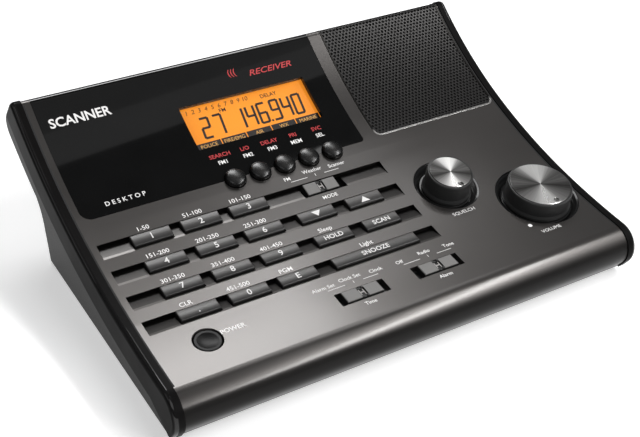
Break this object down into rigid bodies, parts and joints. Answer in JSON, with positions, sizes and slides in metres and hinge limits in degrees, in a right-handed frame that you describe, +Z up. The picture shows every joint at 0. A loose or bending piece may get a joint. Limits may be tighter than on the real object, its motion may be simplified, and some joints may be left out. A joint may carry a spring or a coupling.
{
  "type": "desktop police scanner",
  "caption": "Desktop radio scanner with a curved control deck, keypad, amber display, speaker grille, slide switches and turning knobs.",
  "frame": {"origin": "centre of the footprint's box, on the table under the feet", "axes": "+X along the width to the right seen from the front, +Y from the front to the back, +Z up"},
  "size_m": [0.232, 0.1708, 0.0666],
  "materials": {
    "backlight_amber": "diffusing",
    "base_plastic": "fine matt texture",
    "battery_case": "satin",
    "board_green": "solder mask",
    "button_gloss": "high gloss",
    "button_plastic": "satin",
    "cheek_gloss": "gloss",
    "clear_pane": "clear",
    "deck_paint": "satin metallic paint",
    "foot_rubber": "matt",
    "grille_metal": "satin black",
    "jack_plastic": "moulded",
    "key_plastic": "satin",
    "knob_rubber": "soft touch",
    "lcd_glass": "backlit amber",
    "lens_black": "high gloss",
    "magnet_ferrite": "sintered",
    "nickel_plate": "nickel plated",
    "screw_steel": "blackened",
    "shaft_steel": "turned",
    "slider_grey": "satin",
    "speaker_paper": "pressed paper",
    "speaker_steel": "satin",
    "spun_aluminium": "spun, radial highlights",
    "switch_plastic": "matt",
    "tin_plate": "tinned",
    "well_gloss": "high gloss"
  },
  "bodies": {
    "case": {"top_cover": "deck_paint", "left_cheek": "cheek_gloss", "right_cheek": "cheek_gloss", "base_shell": "base_plastic", "rubber_feet": "foot_rubber", "screws": "screw_steel", "battery_cover": "base_plastic", "backup_battery": "battery_case", "display_lens": "lens_black", "lcd_window": "clear_pane", "lcd_panel": "lcd_glass", "lcd_backlight": "backlight_amber", "speaker_grille": "grille_metal", "speaker_frame": "speaker_steel", "speaker_cone": "speaker_paper", "speaker_magnet": "magnet_ferrite", "slide_switch_bodies": "switch_plastic", "tact_switches": "switch_plastic", "control_board": "board_green", "main_board": "board_green", "tuner_shield": "tin_plate", "antenna_jack": "nickel_plate", "power_jack": "jack_plastic", "earphone_jack": "jack_plastic", "squelch_well": "well_gloss", "volume_well": "well_gloss", "squelch_pot": "tin_plate", "volume_pot": "tin_plate"},
    "key_1_body": {"key_1": "key_plastic"},
    "key_2_body": {"key_2": "key_plastic"},
    "key_3_body": {"key_3": "key_plastic"},
    "key_4_body": {"key_4": "key_plastic"},
    "key_5_body": {"key_5": "key_plastic"},
    "key_6_body": {"key_6": "key_plastic"},
    "key_7_body": {"key_7": "key_plastic"},
    "key_8_body": {"key_8": "key_plastic"},
    "key_9_body": {"key_9": "key_plastic"},
    "key_point_body": {"key_point": "key_plastic"},
    "key_0_body": {"key_0": "key_plastic"},
    "key_enter_body": {"key_enter": "key_plastic"},
    "key_down_body": {"key_down": "key_plastic"},
    "key_up_body": {"key_up": "key_plastic"},
    "key_hold_body": {"key_hold": "key_plastic"},
    "key_scan_body": {"key_scan": "key_plastic"},
    "key_snooze_body": {"key_snooze": "key_plastic"},
    "function_button_1_body": {"function_button_1": "button_plastic"},
    "function_button_2_body": {"function_button_2": "button_plastic"},
    "function_button_3_body": {"function_button_3": "button_plastic"},
    "function_button_4_body": {"function_button_4": "button_plastic"},
    "function_button_5_body": {"function_button_5": "button_plastic"},
    "power_button_body": {"power_button": "button_gloss"},
    "mode_slider_body": {"mode_slider": "slider_grey"},
    "time_slider_body": {"time_slider": "slider_grey"},
    "alarm_slider_body": {"alarm_slider": "slider_grey"},
    "squelch_knob_body": {"squelch_knob": "knob_rubber", "squelch_knob_disc": "spun_aluminium", "squelch_shaft": "shaft_steel"},
    "volume_knob_body": {"volume_knob": "knob_rubber", "volume_knob_disc": "spun_aluminium", "volume_shaft": "shaft_steel"}
  },
  "joints": [
    {"name": "key_1_press", "type": "slide", "parent": "case", "child": "key_1_body", "axis": [0, 0.2539, -0.9672], "range_m": [0, 0.0009], "stiffness_N_per_m": 700},
    {"name": "key_2_press", "type": "slide", "parent": "case", "child": "key_2_body", "axis": [0, 0.2539, -0.9672], "range_m": [0, 0.0009], "stiffness_N_per_m": 700},
    {"name": "key_3_press", "type": "slide", "parent": "case", "child": "key_3_body", "axis": [0, 0.2539, -0.9672], "range_m": [0, 0.0009], "stiffness_N_per_m": 700},
    {"name": "key_4_press", "type": "slide", "parent": "case", "child": "key_4_body", "axis": [0, 0.2019, -0.9794], "range_m": [0, 0.0009], "stiffness_N_per_m": 700},
    {"name": "key_5_press", "type": "slide", "parent": "case", "child": "key_5_body", "axis": [0, 0.2019, -0.9794], "range_m": [0, 0.0009], "stiffness_N_per_m": 700},
    {"name": "key_6_press", "type": "slide", "parent": "case", "child": "key_6_body", "axis": [0, 0.2019, -0.9794], "range_m": [0, 0.0009], "stiffness_N_per_m": 700},
    {"name": "key_7_press", "type": "slide", "parent": "case", "child": "key_7_body", "axis": [0, 0.1493, -0.9888], "range_m": [0, 0.0009], "stiffness_N_per_m": 700},
    {"name": "key_8_press", "type": "slide", "parent": "case", "child": "key_8_body", "axis": [0, 0.1493, -0.9888], "range_m": [0, 0.0009], "stiffness_N_per_m": 700},
    {"name": "key_9_press", "type": "slide", "parent": "case", "child": "key_9_body", "axis": [0, 0.1493, -0.9888], "range_m": [0, 0.0009], "stiffness_N_per_m": 700},
    {"name": "key_point_press", "type": "slide", "parent": "case", "child": "key_point_body", "axis": [0, 0.0995, -0.995], "range_m": [0, 0.0009], "stiffness_N_per_m": 700},
    {"name": "key_0_press", "type": "slide", "parent": "case", "child": "key_0_body", "axis": [0, 0.0995, -0.995], "range_m": [0, 0.0009], "stiffness_N_per_m": 700},
    {"name": "key_enter_press", "type": "slide", "parent": "case", "child": "key_enter_body", "axis": [0, 0.0995, -0.995], "range_m": [0, 0.0009], "stiffness_N_per_m": 700},
    {"name": "key_down_press", "type": "slide", "parent": "case", "child": "key_down_body", "axis": [0, 0.2019, -0.9794], "range_m": [0, 0.0009], "stiffness_N_per_m": 700},
    {"name": "key_up_press", "type": "slide", "parent": "case", "child": "key_up_body", "axis": [0, 0.2019, -0.9794], "range_m": [0, 0.0009], "stiffness_N_per_m": 700},
    {"name": "key_hold_press", "type": "slide", "parent": "case", "child": "key_hold_body", "axis": [0, 0.1493, -0.9888], "range_m": [0, 0.0009], "stiffness_N_per_m": 700},
    {"name": "key_scan_press", "type": "slide", "parent": "case", "child": "key_scan_body", "axis": [0, 0.1493, -0.9888], "range_m": [0, 0.0009], "stiffness_N_per_m": 700},
    {"name": "key_snooze_press", "type": "slide", "parent": "case", "child": "key_snooze_body", "axis": [0, 0.0995, -0.995], "range_m": [0, 0.0009], "stiffness_N_per_m": 700},
    {"name": "function_button_1_press", "type": "slide", "parent": "case", "child": "function_button_1_body", "axis": [0, 0.3113, -0.9503], "range_m": [0, 0.0009], "stiffness_N_per_m": 700},
    {"name": "function_button_2_press", "type": "slide", "parent": "case", "child": "function_button_2_body", "axis": [0, 0.3113, -0.9503], "range_m": [0, 0.0009], "stiffness_N_per_m": 700},
    {"name": "function_button_3_press", "type": "slide", "parent": "case", "child": "function_button_3_body", "axis": [0, 0.3113, -0.9503], "range_m": [0, 0.0009], "stiffness_N_per_m": 700},
    {"name": "function_button_4_press", "type": "slide", "parent": "case", "child": "function_button_4_body", "axis": [0, 0.3113, -0.9503], "range_m": [0, 0.0009], "stiffness_N_per_m": 700},
    {"name": "function_button_5_press", "type": "slide", "parent": "case", "child": "function_button_5_body", "axis": [0, 0.3113, -0.9503], "range_m": [0, 0.0009], "stiffness_N_per_m": 700},
    {"name": "power_button_press", "type": "slide", "parent": "case", "child": "power_button_body", "axis": [0, 0.0591, -0.9983], "range_m": [0, 0.0009], "stiffness_N_per_m": 700},
    {"name": "mode_slider_slide", "type": "slide", "parent": "case", "child": "mode_slider_body", "axis": [1, 0, 0], "range_m": [-0.00145, 0.00405]},
    {"name": "time_slider_slide", "type": "slide", "parent": "case", "child": "time_slider_body", "axis": [1, 0, 0], "range_m": [-0.0025, 0.0031]},
    {"name": "alarm_slider_slide", "type": "slide", "parent": "case", "child": "alarm_slider_body", "axis": [1, 0, 0], "range_m": [-0.00315, 0.00275]},
    {"name": "squelch_turn", "type": "hinge", "parent": "case", "child": "squelch_knob_body", "pos_m": [0.0552, -0.01914, 0.02831], "axis": [0, -0.1792, 0.9838], "range_deg": [-150, 150]},
    {"name": "volume_turn", "type": "hinge", "parent": "case", "child": "volume_knob_body", "pos_m": [0.0911, -0.04191, 0.02513], "axis": [0, -0.0996, 0.995], "range_deg": [-150, 150]}
  ]
}
